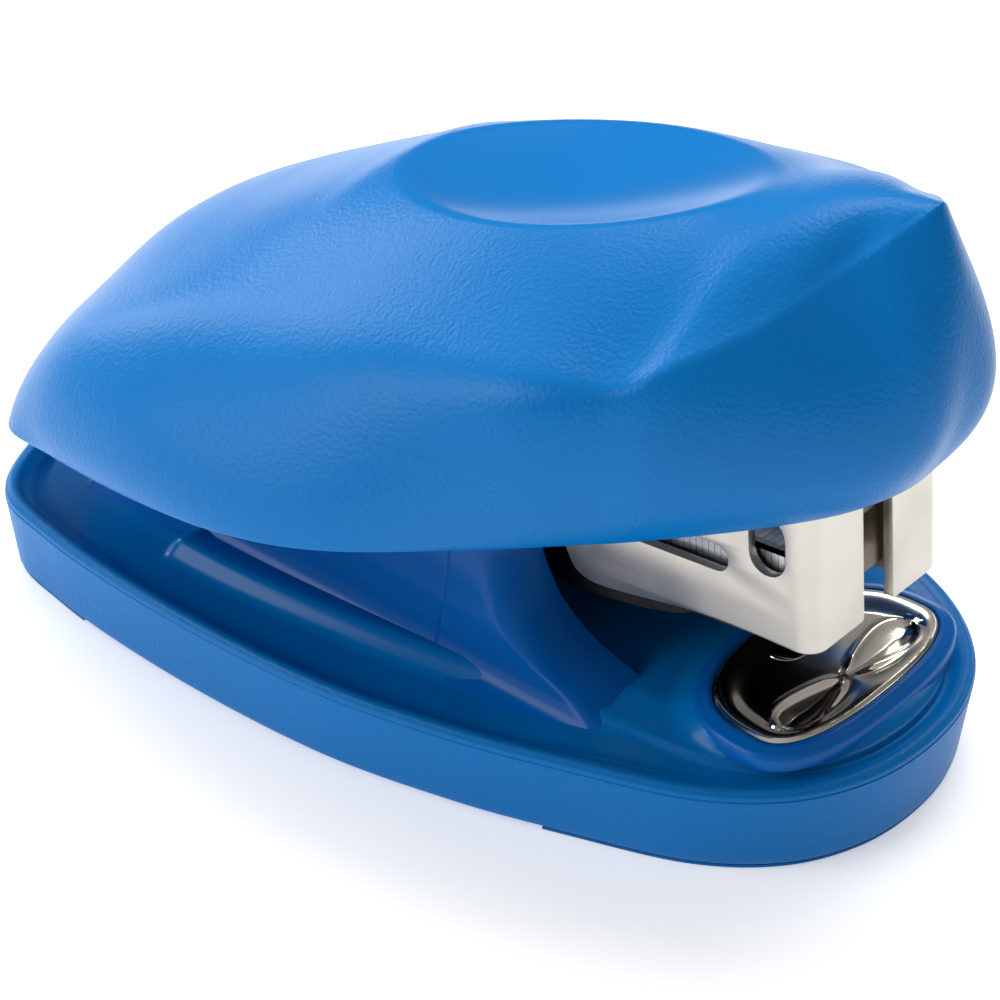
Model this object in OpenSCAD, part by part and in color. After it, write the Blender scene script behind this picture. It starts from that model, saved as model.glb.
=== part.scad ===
// Small hand stapler: a moulded base with an anvil, a sprung magazine and a
// sprung press cap, both hinged on one pin near the tail.
// Frame: +X to the nose, +Y to the left, +Z up, origin under the middle of the foot print.
// The pose drawn is the resting one, with the magazine and the cap raised.

/* [Base] */
// Height of the top edge of the skirt above the table
rim_height = 7; // [6.5:0.1:7.4]
// Height of the lower edge of the skirt above the table
skirt_bottom = 0.4; // [0.3:0.1:0.6]
// Thickness of the moulded base walls
base_wall = 1.6; // [1.2:0.1:2]
// Height of the deck between the skirt and the cheeks
deck_height = 5.2; // [4.8:0.1:5.6]
// Height of the anvil's top face above the table
anvil_height = 9.2; // [9:0.1:9.3]

/* [Hinge] */
// Distance of the hinge behind the middle of the base
hinge_back = 25; // [24.5:0.1:25.5]
// Height of the hinge above the table
hinge_height = 14.5; // [14.4:0.1:14.8]
// Radius of the hinge pin
pin_radius = 1.25; // [1.1:0.05:1.4]
// Running clearance round the pin in the parts that turn on it
running_gap = 0.05; // [0.03:0.01:0.08]

/* [Magazine] */
// Outside width of the magazine
magazine_width = 14.7; // [14.6:0.1:14.9]
// Thickness of the magazine's sheet steel
sheet = 0.8; // [0.7:0.05:0.85]
// Height of the magazine's side walls
magazine_wall_height = 10.4; // [10:0.1:10.6]
// Distance from the hinge to the front face of the magazine
magazine_reach = 57.6; // [57.5:0.1:57.8]
// Width of the open gap in the magazine's front
front_gap = 3.3; // [3:0.1:3.6]
// Angle by which the magazine stands raised at rest
magazine_pitch = 5.6; // [5.4:0.1:6]
// Number of staples in the strip
staple_count = 50; // [30:1:50]

/* [Cap] */
// Thickness of the moulded cap
cap_wall = 1.7; // [1.4:0.1:2]
// Angle by which the cap stands raised above the magazine at rest
cap_pitch = 7.4; // [7:0.1:7.6]
// Radius of the ball that hollows the thumb dish
dish_radius = 46; // [40:1:60]

/* [Hidden] */
$fn = 48;
tiny = 0.01;
dish_x = 6.4;
dish_tilt = 13;
dish_floor = 37.6;
base_outline_steps = 5;
cap_outline_steps = 3;
hull_rows = 6;
top_rows = 9;
hinge_x = -hinge_back;
wall_foot = -4.9;
wall_top = wall_foot + magazine_wall_height;
half_width = magazine_width / 2;
inner_half = half_width - sheet;
cheek_inner = 8.5;
cheek_outer = 12;
ear_inner = 7.6;
ear_outer = 8.2;
carrier_floor = wall_top + 0.8;
carrier_top = carrier_floor + 1;
blade_back = magazine_reach - 1.85;
blade_thickness = 0.5;
staple_pitch = 0.52;
strip_front = magazine_reach - 2.4;
strip_length = staple_count * staple_pitch;
strip_back = strip_front - strip_length;
rail_half = 5.55;
rail_top = 1.3;
rail_foot = wall_foot - 0.5;
rail_back = 8;
rail_front = strip_front - 0.6;
tongue_half = 1;
rod_radius = 1;
rod_height = -2;
pusher_front = strip_back - 0.2;
pusher_back = pusher_front - 6;
spring_turns = 10;
staple_half = 6.35;
staple_wire = 0.5;
staple_leg = 6;
rivet_place = [10.2, 0, -2.4];
rivet_radius = 0.8;
slot_ends = [37, 49.8];
slot_height = wall_foot + 5.1;
window_x = magazine_reach - 3.6;
window_radius = 1.45;
window_ends = [wall_foot + 6.6, wall_foot + 8.2];
magazine_side = [[-3.4, -3.4], [-3.4, 3], [-1, wall_top], [magazine_reach, wall_top],
    [magazine_reach, wall_foot], [56, wall_foot], [50.7, wall_foot + 0.3], [46.9, wall_foot + 0.1],
    [42.6, wall_foot - 0.5], [38.9, wall_foot - 0.9], [37.7, wall_foot - 0.5], [37, wall_foot + 0.5],
    [36.5, wall_foot + 1.8], [34, wall_foot + 2.2], [14, wall_foot + 1.2], [2, wall_foot + 1.2]];
bend_radius = 1.5;
strap_ends = [2, 6];
anvil_x = 30.6;
channel_floor = 6.6;
anvil_rivet_x = 25.6;
anvil_rivet_radius = 1.2;
// the cover lies this high, and a foot tread stays this far inside the outline
cover_bottom = 1.2;
tread_inset = 0.7;
cover_screw_places = [-31, 12];
post_radius = 2.6;
steel_color = [0.78, 0.78, 0.76];
dark_steel_color = [0.45, 0.45, 0.46];
blue = [0.05, 0.35, 0.78];

// Half of the base's outline, from the nose to the tail
base_half = [
    [37.8, 0], [37, 5.6], [34.2, 10.8], [29, 15], [20.6, 18.3], [12.6, 20.9],
    [2, 23.1], [-12, 23.7], [-25, 22.7], [-32.6, 20], [-37, 10], [-37.8, 0]
];

// Half of the cap's lower edge in plan, from the nose to the tail
cap_rim_half = [
    [34.8, 0], [34.2, 3], [32.4, 6.4], [28.6, 10.3], [23.6, 14.3], [20.2, 16.6], [14.4, 20.2],
    [5.6, 24.7], [-2.6, 26.1], [-12.6, 25.3], [-23.2, 23.2], [-30.4, 20.8], [-34.2, 12.5], [-34.9, 0]
];

// The cap's shoulder line over each of those points
cap_shoulder_half = [
    [34.5, 0, 46.4], [33.1, 2.8, 44.6], [31, 5.3, 42.4], [28.7, 10.2, 39.9], [25.4, 14.8, 37.7],
    [22.4, 16.9, 35.9], [16, 19.2, 35.2], [4.2, 19.6, 33.1], [-6.2, 18.9, 30.6], [-15.9, 18.9, 27.7],
    [-23.7, 19.1, 23.7], [-29.1, 15.4, 20.5], [-31.6, 8.5, 19.8], [-31.8, 0, 22.1]
];

// How far the cap's side bulges past the straight line between edge and shoulder
cap_bulge = [3, 3.9, 3.9, 3, 2.3, 1.7, 1.4, 1.4, 1.9, 2.4, 1.9, 0.9, 0.7, 0.6];

// The cap's ridge along its middle: distance forward and height
cap_spine = [
    [-31.8, 22.1], [-28, 25.1], [-24.4, 27.1], [-19.4, 29.6], [-11.4, 33.9], [-7.6, 36],
    [6.4, 40.8], [20.4, 42.9], [28, 45.3], [34.5, 46.4]
];

// ---- curves ----

// Point at t between b and c on the smooth curve through a, b, c and d
function smooth_between(a, b, c, d, t) =
    0.5 * (2 * b + (c - a) * t + (2 * a - 5 * b + 4 * c - d) * t * t
    + (3 * b - a - 3 * c + d) * t * t * t);

// Mirrors a point of a half outline to the other side
function other_side(p) = [for (i = [0:len(p) - 1]) i == 1 ? -p[i] : p[i]];

// Smooth curve through a half outline that meets the middle plane squarely at both ends
function smooth_half(points, steps) =
    let (n = len(points), p = concat([other_side(points[1])], points, [other_side(points[n - 2])]))
    [for (i = [0:n - 2], k = [0:steps - 1])
        smooth_between(p[i], p[i + 1], p[i + 2], p[i + 3], k / steps), points[n - 1]];

// A half outline and its mirror image as one closed loop
function closed_loop(half) =
    let (n = len(half))
    concat(half, [for (i = [n - 2:-1:1]) other_side(half[i])]);

// Height of a smooth ridge line at x
function slope_at(table, i) =
    let (n = len(table), a = max(i - 1, 0), b = min(i + 1, n - 1))
    (table[b][1] - table[a][1]) / (table[b][0] - table[a][0]);
function segment_of(table, x) =
    max(0, min(len(table) - 2, len([for (p = table) if (p[0] <= x) 1]) - 1));
function ridge_height(table, x) =
    let (i = segment_of(table, x), w = table[i + 1][0] - table[i][0], t = (x - table[i][0]) / w,
        a = table[i][1], b = table[i + 1][1], sa = slope_at(table, i) * w, sb = slope_at(table, i + 1) * w)
    a + t * sa + t * t * (3 * (b - a) - 2 * sa - sb) + t * t * t * (2 * (a - b) + sa + sb);

// ---- cap surface ----

// The cap's lower edge lies in one plane that rises to the nose
function cap_rim_height(x) = 26.2 + 0.2 * (x - 34.6);

// Point on the cap's side, from v = 0 at the edge to v = 1 at the shoulder
function side_point(rim, shoulder, bulge, v) =
    let (dir = [shoulder[0] + rim[0] + 12, shoulder[1] + rim[1]],
        middle = (rim + shoulder) / 2,
        outward = dir / max(norm(dir), tiny),
        control = [middle[0] + 2 * bulge * outward[0], middle[1] + 2 * bulge * outward[1],
            0.6 * rim[2] + 0.4 * shoulder[2]])
    rim * (1 - v) * (1 - v) + control * 2 * v * (1 - v) + shoulder * v * v;

// Height of the hollowed thumb dish
function dish_height(x, y) =
    dish_floor + (x - dish_x) * tan(dish_tilt)
        + ((x - dish_x) * (x - dish_x) * 0.8 + y * y * 1.3) / (2 * dish_radius);

// Point on the cap's top, from v = 0 at the shoulder to v = 1 at the ridge
function top_point(shoulder, v) =
    let (t = 1 - v, crest = ridge_height(cap_spine, shoulder[0]), reach = shoulder[1], foot = shoulder[2],
        y = reach * (3 * 0.45 * t * (1 - t) * (1 - t) + 3 * 0.63 * t * t * (1 - t) + t * t * t),
        z = crest * ((1 - t) * (1 - t) * (1 - t) + 3 * t * (1 - t) * (1 - t))
            + (foot + 0.38 * (crest - foot)) * 3 * t * t * (1 - t) + foot * t * t * t,
        hollow = dish_height(shoulder[0], y))
    [shoulder[0], y, min(z, hollow)];

// One station's points from the edge to the ridge
function station(rim, shoulder, bulge) =
    concat([for (r = [0:hull_rows - 1]) side_point(rim, shoulder, bulge, r / hull_rows)],
        [for (r = [0:top_rows]) top_point(shoulder, r / top_rows)]);

cap_rim_3d = [for (p = cap_rim_half) [p[0], p[1], cap_rim_height(p[0])]];
rim_curve = smooth_half(cap_rim_3d, cap_outline_steps);
shoulder_curve = smooth_half(cap_shoulder_half, cap_outline_steps);
bulge_curve = smooth_half([for (b = cap_bulge) [b, 0]], cap_outline_steps);
outer_stations = [for (i = [0:len(rim_curve) - 1])
    station(rim_curve[i], shoulder_curve[i], bulge_curve[i][0])];

// The inside is the outside drawn in towards its middle by the wall's thickness, less near the edge
lip_share = 0.35;
lip_height = 3;
function inner_point(p) =
    let (edge = cap_rim_height(p[0]),
        wall = cap_wall * min(1, lip_share + (1 - lip_share) * (p[2] - edge) / lip_height))
    [2 + (p[0] - 2) * (1 - wall / 34), p[1] * (1 - wall / 25), edge + (p[2] - edge) * (1 - wall / 17)];
inner_stations = [for (s = outer_stations) [for (p = s) inner_point(p)]];

// A skin is stored as rings for the side, one point at each end of the top, then the top's rows
station_count = len(outer_stations);
ring_size = 2 * (station_count - 1);
row_size = ring_size - 2;
function ring_point(stations, r, j) =
    j < station_count ? stations[j][r] : other_side(stations[ring_size - j][r]);
function skin_points(stations) = concat(
    [for (r = [0:hull_rows - 1], j = [0:ring_size - 1]) ring_point(stations, r, j)],
    [stations[0][hull_rows], stations[station_count - 1][hull_rows]],
    [for (r = [hull_rows:hull_rows + top_rows - 1], j = [0:ring_size - 1])
        if (j != 0 && j != station_count - 1) ring_point(stations, r, j)],
    [for (j = [1:station_count - 2]) stations[j][hull_rows + top_rows]]);
top_start = hull_rows * ring_size + 2;
ridge_start = top_start + top_rows * row_size;
skin_size = ridge_start + station_count - 2;
function skin_index(r, k) =
    let (j = k % ring_size)
    r < hull_rows ? r * ring_size + j
    : j == 0 ? top_start - 2
    : j == station_count - 1 ? top_start - 1
    : r < hull_rows + top_rows ? top_start + (r - hull_rows) * row_size + (j < station_count ? j - 1 : j - 2)
    : ridge_start + (j < station_count ? j - 1 : ring_size - j - 1);
function whole_triangles(list) =
    [for (f = list) if (f[0] != f[1] && f[1] != f[2] && f[0] != f[2]) f];
function skin_faces() = whole_triangles([
    for (r = [0:hull_rows + top_rows - 1], j = [0:ring_size - 1])
        let (a = skin_index(r, j), b = skin_index(r, j + 1),
            c = skin_index(r + 1, j + 1), d = skin_index(r + 1, j))
        each (j < station_count - 1 ? [[a, b, c], [a, c, d]] : [[a, b, d], [b, c, d]])
]);
function turned(f, start) = [f[2] + start, f[1] + start, f[0] + start];

module cap_skin() {
    outer = skin_points(outer_stations);
    inner = skin_points(inner_stations);
    faces = skin_faces();
    edge = [for (j = [0:ring_size - 1])
        let (a = j, b = (j + 1) % ring_size, c = skin_size + b, d = skin_size + a)
        each [[a, c, b], [a, d, c]]];
    polyhedron(concat(outer, inner),
        concat(faces, [for (f = faces) turned(f, skin_size)], edge), convexity = 8);
}

// ---- frames of the moving parts ----

// Places a part drawn in the magazine's own frame: origin on the hinge, level when pressed
module on_magazine() {
    translate([hinge_x, 0, hinge_height]) rotate([0, -magazine_pitch, 0]) children();
}

// Places a part drawn in the cap's own frame: origin on the hinge, level when pressed
module on_cap() {
    translate([hinge_x, 0, hinge_height]) rotate([0, -magazine_pitch - cap_pitch, 0]) children();
}

module both_sides() {
    children();
    mirror([0, 1, 0]) children();
}

// A plate lying in the X-Z plane, from the outline, between two distances from the middle
module side_plate(outline, from, to) {
    translate([0, to, 0]) rotate([90, 0, 0]) linear_extrude(to - from) polygon(outline);
}

module cross_bore(radius) {
    rotate([90, 0, 0]) cylinder(r = radius, h = 60, center = true);
}

module box_between(low, high) {
    translate(low) cube(high - low);
}

module square_between(low, high) {
    translate(low) square(high - low);
}

// Round wire along a path of points: each section turns with the path
function path_direction(path, i) =
    let (a = path[max(i - 1, 0)], b = path[min(i + 1, len(path) - 1)]) (b - a) / norm(b - a);
function wire_section(centre, along, radius) =
    let (side = cross(along, abs(along[0]) < 0.9 ? [1, 0, 0] : [0, 0, 1]),
        u = side / norm(side), v = cross(along, u))
    [for (a = [0:60:300]) centre + radius * (cos(a) * u + sin(a) * v)];
module wire(path, radius) {
    count = len(path);
    points = [for (i = [0:count - 1]) each wire_section(path[i], path_direction(path, i), radius)];
    faces = concat([[for (k = [0:5]) k]], [[for (k = [5:-1:0]) (count - 1) * 6 + k]],
        [for (i = [0:count - 2], k = [0:5])
            let (a = i * 6 + k, b = i * 6 + (k + 1) % 6, c = b + 6, d = a + 6)
            each [[a, c, b], [a, d, c]]]);
    polyhedron(points, faces, convexity = 8);
}

// ---- base ----

base_loop = closed_loop(smooth_half(base_half, base_outline_steps));

module base_outline(inset) {
    offset(delta = -inset) polygon(base_loop);
}

// The anvil's plan: a full curve at the back and a flatter one in front
function anvil_outline(grow) = [
    for (a = [0:6:354])
        let (reach = cos(a) > 0 ? 3.6 : 6.9, power = 0.8)
        [anvil_x - 0.4 + sign(cos(a)) * (reach + grow) * pow(abs(cos(a)), power),
            sign(sin(a)) * (9.8 + grow) * pow(abs(sin(a)), power)]
];

// Side view of a cheek: round over the hinge, then a long hollow sweep down to the deck
cheek_side = concat(
    [[-29, deck_height - 0.5], [-29, hinge_height]],
    [for (a = [170:-15:80]) [hinge_x + 4 * cos(a), hinge_height + 4 * sin(a)]],
    [[-12, 17.6], [0, 16.6], [8, 15.8]],
    [for (a = [20:10:80]) [20 - 11 * cos(a), 19.8 - 12 * sin(a)]],
    [[24, 7.4], [24, deck_height - 0.5]]
);

module base_shell() {
    color(blue)
        difference() {
            union() {
                difference() {
                    translate([0, 0, skirt_bottom])
                        linear_extrude(rim_height - skirt_bottom) base_outline(0);
                    translate([0, 0, deck_height])
                        linear_extrude(rim_height) base_outline(base_wall);
                    linear_extrude(deck_height - base_wall) base_outline(base_wall);
                }
                // raised floor round the anvil
                translate([0, 0, deck_height - tiny])
                    linear_extrude(channel_floor - deck_height) intersection() {
                        base_outline(3.2);
                        square_between([4, -13], [40, 13]);
                    }
                translate([0, 0, deck_height])
                    linear_extrude(anvil_height - 0.3 - deck_height) polygon(anvil_outline(1.3));
                both_sides() side_plate(cheek_side, cheek_inner, cheek_outer);
                // posts for the cover's screws
                for (x = cover_screw_places)
                    translate([x, 0, 2.7]) cylinder(r = post_radius, h = deck_height - 2.7);
            }
            // seat for the anvil
            translate([0, 0, anvil_height - 0.9]) linear_extrude(2) polygon(anvil_outline(0.1));
            translate([anvil_rivet_x, 0, 0]) cylinder(r = anvil_rivet_radius, h = 20);
            translate([hinge_x, 0, hinge_height]) cross_bore(pin_radius + tiny);
            for (x = cover_screw_places)
                translate([x, 0, 1]) cylinder(r = 0.9, h = 3.4);
        }
}

module base_cover() {
    color(blue)
        difference() {
            translate([0, 0, cover_bottom]) linear_extrude(1.5) base_outline(base_wall + 0.15);
            for (x = cover_screw_places) {
                translate([x, 0, 0]) cylinder(r = 1.2, h = 5);
                translate([x, 0, 0]) cylinder(r = 2.2, h = 1.9);
            }
        }
}

module cover_screws() {
    color(steel_color)
        for (x = cover_screw_places)
            translate([x, 0, 1.9]) difference() {
                union() {
                    mirror([0, 0, 1]) cylinder(r = 2, h = 0.6);
                    cylinder(r = 0.9, h = 2.4);
                }
                for (turn = [0, 90])
                    rotate(turn) translate([-1.2, -0.2, -1]) cube([2.4, 0.4, 0.7]);
            }
}

// a pad under the cover whose tread reaches out under the lower edge of the skirt
module foot(low, high) {
    linear_extrude(cover_bottom) intersection() {
        base_outline(base_wall + 0.9);
        square_between(low, high);
    }
    linear_extrude(skirt_bottom) intersection() {
        base_outline(tread_inset);
        square_between(low, high);
    }
}

module front_foot() {
    color(blue) foot([19, -30], [40, 30]);
}

module rear_foot() {
    color(blue)
        difference() {
            foot([-40, -30], [-22, 30]);
            translate([-31, 0, -1]) cylinder(r = 3, h = 5);
        }
}

module anvil_plate() {
    color([0.8, 0.78, 0.74])
        difference() {
            translate([0, 0, anvil_height - 0.9]) linear_extrude(0.9) polygon(anvil_outline(0));
            // the two hollows that curl the staple's legs inwards
            both_sides()
                translate([anvil_x, 3.9, anvil_height + 1.15]) rotate([0, 90, 90])
                    cylinder(r = 1.6, h = 6.6, center = true);
            translate([anvil_rivet_x, 0, 0]) cylinder(r = anvil_rivet_radius + tiny, h = 20);
        }
}

module anvil_rivet() {
    color(steel_color) translate([anvil_rivet_x, 0, 0]) {
        translate([0, 0, 3]) cylinder(r = anvil_rivet_radius, h = anvil_height - 3 + 0.1);
        translate([0, 0, 3]) cylinder(r = 2, h = 0.6);
    }
}

module hinge_pin() {
    color(steel_color) translate([hinge_x, 0, hinge_height]) rotate([90, 0, 0])
        cylinder(r = pin_radius, h = 2 * cheek_outer + 2.4, center = true);
}

module pin_washers() {
    color(steel_color)
        both_sides() translate([hinge_x, cheek_outer + 0.7, hinge_height]) rotate([90, 0, 0])
            difference() {
                cylinder(r = 2.2, h = 0.6, center = true);
                cylinder(r = pin_radius + tiny, h = 1, center = true);
            }
}

// Leaf spring on the channel floor that lifts the magazine by its rail
lift_leaf = [[-20, deck_height], [-7.7, deck_height], [-0.1, 10.2], [1, 10.95], [1.6, 11.12], [2.5, 10.9],
    [3.4, 10.45], [3.6, 10.9], [2.6, 11.4], [1.6, 11.62], [0.8, 11.45], [-0.5, 10.6], [-8, deck_height + 0.5],
    [-20, deck_height + 0.5]];
lift_leaf_half = 6;
module lift_spring() {
    color(steel_color) side_plate(lift_leaf, -lift_leaf_half, lift_leaf_half);
}

// ---- magazine ----

// Plan of the folded channel, with the bends at its front corners
module channel_plan() {
    offset(r = bend_radius) offset(delta = -bend_radius)
        square_between([-10, -half_width], [magazine_reach, half_width]);
}

module magazine_channel() {
    color(steel_color) on_magazine()
        difference() {
            intersection() {
                union() {
                    both_sides() side_plate(magazine_side, inner_half, half_width);
                    // strap that ties both walls together behind the rail
                    box_between([strap_ends[0], -half_width, wall_foot + 1.2],
                        [strap_ends[1], half_width, wall_foot + 2]);
                    // front face, bent in from both sides to leave the gap
                    both_sides()
                        box_between([magazine_reach - sheet, front_gap / 2, wall_foot],
                            [magazine_reach, inner_half + tiny, wall_top]);
                }
                translate([0, 0, -10]) linear_extrude(30) channel_plan();
            }
            cross_bore(pin_radius + running_gap);
            translate(rivet_place) cross_bore(rivet_radius + tiny);
            // long slot and oval window in the sides
            for (x = slot_ends)
                translate([x, 0, slot_height]) cross_bore(1);
            box_between([slot_ends[0], -10, slot_height - 1], [slot_ends[1], 10, slot_height + 1]);
            for (z = window_ends)
                translate([window_x, 0, z]) cross_bore(window_radius);
            box_between([window_x - window_radius, -10, window_ends[0]],
                [window_x + window_radius, 10, window_ends[1]]);
        }
}

// Inner rail: the staples ride astride it, and its lips show under the walls
rail_side = [[34, rail_foot + 0.4], [34, rail_foot - 0.6], [34.6, rail_foot - 1.5], [36, rail_foot - 1.95],
    [39, rail_foot - 1.8], [42.7, rail_foot - 1.4], [45.5, rail_foot - 0.8], [47, rail_foot - 0.15],
    [rail_front, rail_foot], [rail_front, rail_foot + 0.4]];
module staple_rail() {
    color(dark_steel_color) on_magazine()
        difference() {
            union() {
                box_between([rail_back, -rail_half, rail_top - 0.5], [rail_front, rail_half, rail_top]);
                both_sides()
                    box_between([rail_back, rail_half - 0.5, rail_foot], [rail_front, rail_half, rail_top]);
                both_sides() side_plate(rail_side, rail_half - 0.5, rail_half + 0.9);
            }
            // slot for the pusher's tongue
            box_between([rail_back + 1, -tongue_half - 0.15, rail_top - 1],
                [strip_back - 0.1, tongue_half + 0.15, rail_top + 1]);
            translate(rivet_place) cross_bore(rivet_radius + tiny);
        }
}

module rail_rivets() {
    color(steel_color) on_magazine() translate(rivet_place) both_sides() rotate([-90, 0, 0]) {
        translate([0, 0, rail_half - 0.5]) cylinder(r = rivet_radius, h = half_width - rail_half + 0.5);
        translate([0, 0, half_width]) cylinder(r = 1.3, h = 0.2);
        translate([0, 0, rail_half]) difference() {
            cylinder(r = 1.4, h = inner_half - rail_half);
            translate([0, 0, -1]) cylinder(r = rivet_radius - tiny, h = 4);
        }
    }
}

module guide_rod() {
    color(steel_color) on_magazine() translate([rail_back - 1.5, 0, rod_height]) rotate([0, 90, 0])
        cylinder(r = rod_radius, h = rail_front - rail_back + 1.3);
}

// Blocks that hold the guide rod at both ends
module rod_bracket() {
    color(dark_steel_color) on_magazine() {
        difference() {
            box_between([rail_back - 1.2, -rail_half, rail_foot + 0.6],
                [rail_back - 0.02, rail_half, rail_top]);
            translate([rail_back - 3, 0, rod_height]) rotate([0, 90, 0])
                cylinder(r = rod_radius + tiny, h = 4);
        }
        difference() {
            box_between([rail_front - 1.6, -rail_half + 0.52, rail_foot + 0.6],
                [rail_front - 0.4, rail_half - 0.52, rail_top - 0.52]);
            translate([rail_front - 3, 0, rod_height]) rotate([0, 90, 0])
                cylinder(r = rod_radius + tiny, h = 4);
        }
    }
}

module pusher_spring() {
    from = rail_back + 0.4;
    length = pusher_back - from - 0.4;
    turn = 20;
    color(steel_color) on_magazine() wire(
        [for (a = [0:turn:360 * spring_turns])
            [from + length * a / (360 * spring_turns), 1.75 * cos(a), rod_height + 1.75 * sin(a)]],
        0.3);
}

module staple_strip() {
    color([0.72, 0.73, 0.75]) on_magazine()
        for (k = [0:staple_count - 1])
            translate([strip_back + k * staple_pitch, 0, rail_top + 0.1]) difference() {
                box_between([0.01, -staple_half, staple_wire - staple_leg],
                    [staple_pitch - 0.01, staple_half, staple_wire]);
                box_between([-1, -staple_half + staple_wire, -staple_leg - 1],
                    [1, staple_half - staple_wire, 0]);
            }
}

module staple_pusher() {
    color(dark_steel_color) on_magazine()
        difference() {
            union() {
                box_between([pusher_back, -staple_half, rail_top + 0.12], [pusher_front, staple_half, rail_top + 0.9]);
                both_sides()
                    box_between([pusher_back, rail_half + 0.15, wall_foot + 0.8],
                        [pusher_front, staple_half, rail_top + 0.9]);
                box_between([pusher_back, -tongue_half, rod_height - 2], [pusher_back + 3, tongue_half, rail_top + 0.2]);
                translate([pusher_back, 0, rod_height]) rotate([0, 90, 0]) cylinder(r = 2, h = 3);
            }
            translate([0, 0, rod_height]) rotate([0, 90, 0]) cylinder(r = rod_radius + running_gap, h = 60);
        }
}

// ---- cap ----

// Turns a place in the resting cap's middle plane into the cap's own frame
function to_cap(x, z) =
    let (a = magazine_pitch + cap_pitch, dx = x - hinge_x, dz = z - hinge_height)
    [dx * cos(a) + dz * sin(a), 0, dz * cos(a) - dx * sin(a)];
function roof_height(x) = min(ridge_height(cap_spine, x), dish_height(x, 0));
post_tips = [for (x = [-9, 13]) to_cap(x, roof_height(x) - 1.3)];

module cap_shell() {
    color(blue) cap_skin();
}

// Moulded posts under the roof that take the carrier's screws
module cap_posts() {
    color(blue) on_cap()
        for (tip = post_tips)
            translate([tip[0], 0, carrier_top]) difference() {
                cylinder(r = post_radius, h = tip[2] - carrier_top);
                translate([0, 0, -1]) cylinder(r = 1 - tiny, h = 5.5);
            }
}

ear_side = concat([for (a = [190:20:350]) [3.4 * cos(a), 3.4 * sin(a)]],
    [[10, carrier_floor - 1.5], [14, carrier_floor], [14, carrier_top], [-1, carrier_top]]);

module driver_carrier() {
    color(steel_color) on_cap()
        difference() {
            union() {
                box_between([-1, -ear_outer, carrier_floor], [14, ear_outer, carrier_top]);
                box_between([13, -6.2, carrier_floor], [blade_back - 0.02, 6.2, carrier_top]);
                both_sides() side_plate(ear_side, ear_inner, ear_outer);
            }
            cross_bore(pin_radius + running_gap);
            for (tip = post_tips)
                translate([tip[0], 0, 0]) cylinder(r = 1, h = 20);
            for (y = [-3.5, 3.5])
                translate([blade_back - 4, y, 0]) cylinder(r = 0.8, h = 20);
        }
}

module driver_blade() {
    color(dark_steel_color) on_cap()
        difference() {
            union() {
                box_between([blade_back, -6.2, wall_foot - 0.2],
                    [blade_back + blade_thickness, 6.2, carrier_top + blade_thickness]);
                box_between([blade_back - 7, -6.2, carrier_top + 0.01],
                    [blade_back + tiny, 6.2, carrier_top + blade_thickness]);
            }
            for (y = [-3.5, 3.5])
                translate([blade_back - 4, y, 0]) cylinder(r = 0.8, h = 20);
        }
}

module blade_rivets() {
    color(steel_color) on_cap()
        for (y = [-3.5, 3.5])
            translate([blade_back - 4, y, 0]) {
                translate([0, 0, carrier_floor - 0.4])
                    cylinder(r = 0.8 - tiny, h = 1.4 + blade_thickness + 0.4);
                translate([0, 0, carrier_floor - 0.5]) cylinder(r = 1.3, h = 0.49);
                translate([0, 0, carrier_top + blade_thickness + 0.01]) cylinder(r = 1.3, h = 0.5);
            }
}

module carrier_screws() {
    color(steel_color) on_cap()
        for (tip = post_tips)
            translate([tip[0], 0, carrier_floor]) difference() {
                union() {
                    translate([0, 0, -0.8]) cylinder(r = 2, h = 0.79);
                    translate([0, 0, -0.5]) cylinder(r = 1 - 2 * tiny, h = 5);
                }
                for (turn = [0, 90])
                    rotate(turn) translate([-1.3, -0.2, -1]) cube([2.6, 0.4, 0.6]);
            }
}

// Torsion spring on the pin: one leg under the carrier, one on the rail
module cap_spring() {
    coil = [for (a = [90:20:90 + 360 * 6])
        [hinge_x + 2.2 * cos(a), -3 + 6 * (a - 90) / (360 * 6), hinge_height + 2.2 * sin(a)]];
    lower_leg = [[hinge_x + 11, -3, hinge_height + 3.4], [hinge_x + 6, -3, hinge_height + 2.9]];
    upper_leg = [[hinge_x + 6, 3, hinge_height + 4.9], [hinge_x + 12, 3, hinge_height + 8.2]];
    color(steel_color) wire(concat(lower_leg, coil, upper_leg), 0.35);
}

base_shell();
base_cover();
cover_screws();
front_foot();
rear_foot();
anvil_plate();
anvil_rivet();
hinge_pin();
pin_washers();
lift_spring();
magazine_channel();
staple_rail();
rail_rivets();
guide_rod();
rod_bracket();
pusher_spring();
staple_strip();
staple_pusher();
cap_shell();
cap_posts();
driver_carrier();
driver_blade();
blade_rivets();
carrier_screws();
cap_spring();
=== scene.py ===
# %% [markdown]
# # A small hand stapler
# Two blue mouldings, a base and a press cap, close on one steel pin near the tail. Between them a
# folded nickel-plated magazine carries the staples. The CAD frame gives every place and size, so
# this lesson only makes the surfaces: each piece is drawn in millimetres and stored in metres.

import math

import bmesh
import bpy
import numpy as np
from mathutils import Matrix, Vector


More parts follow.
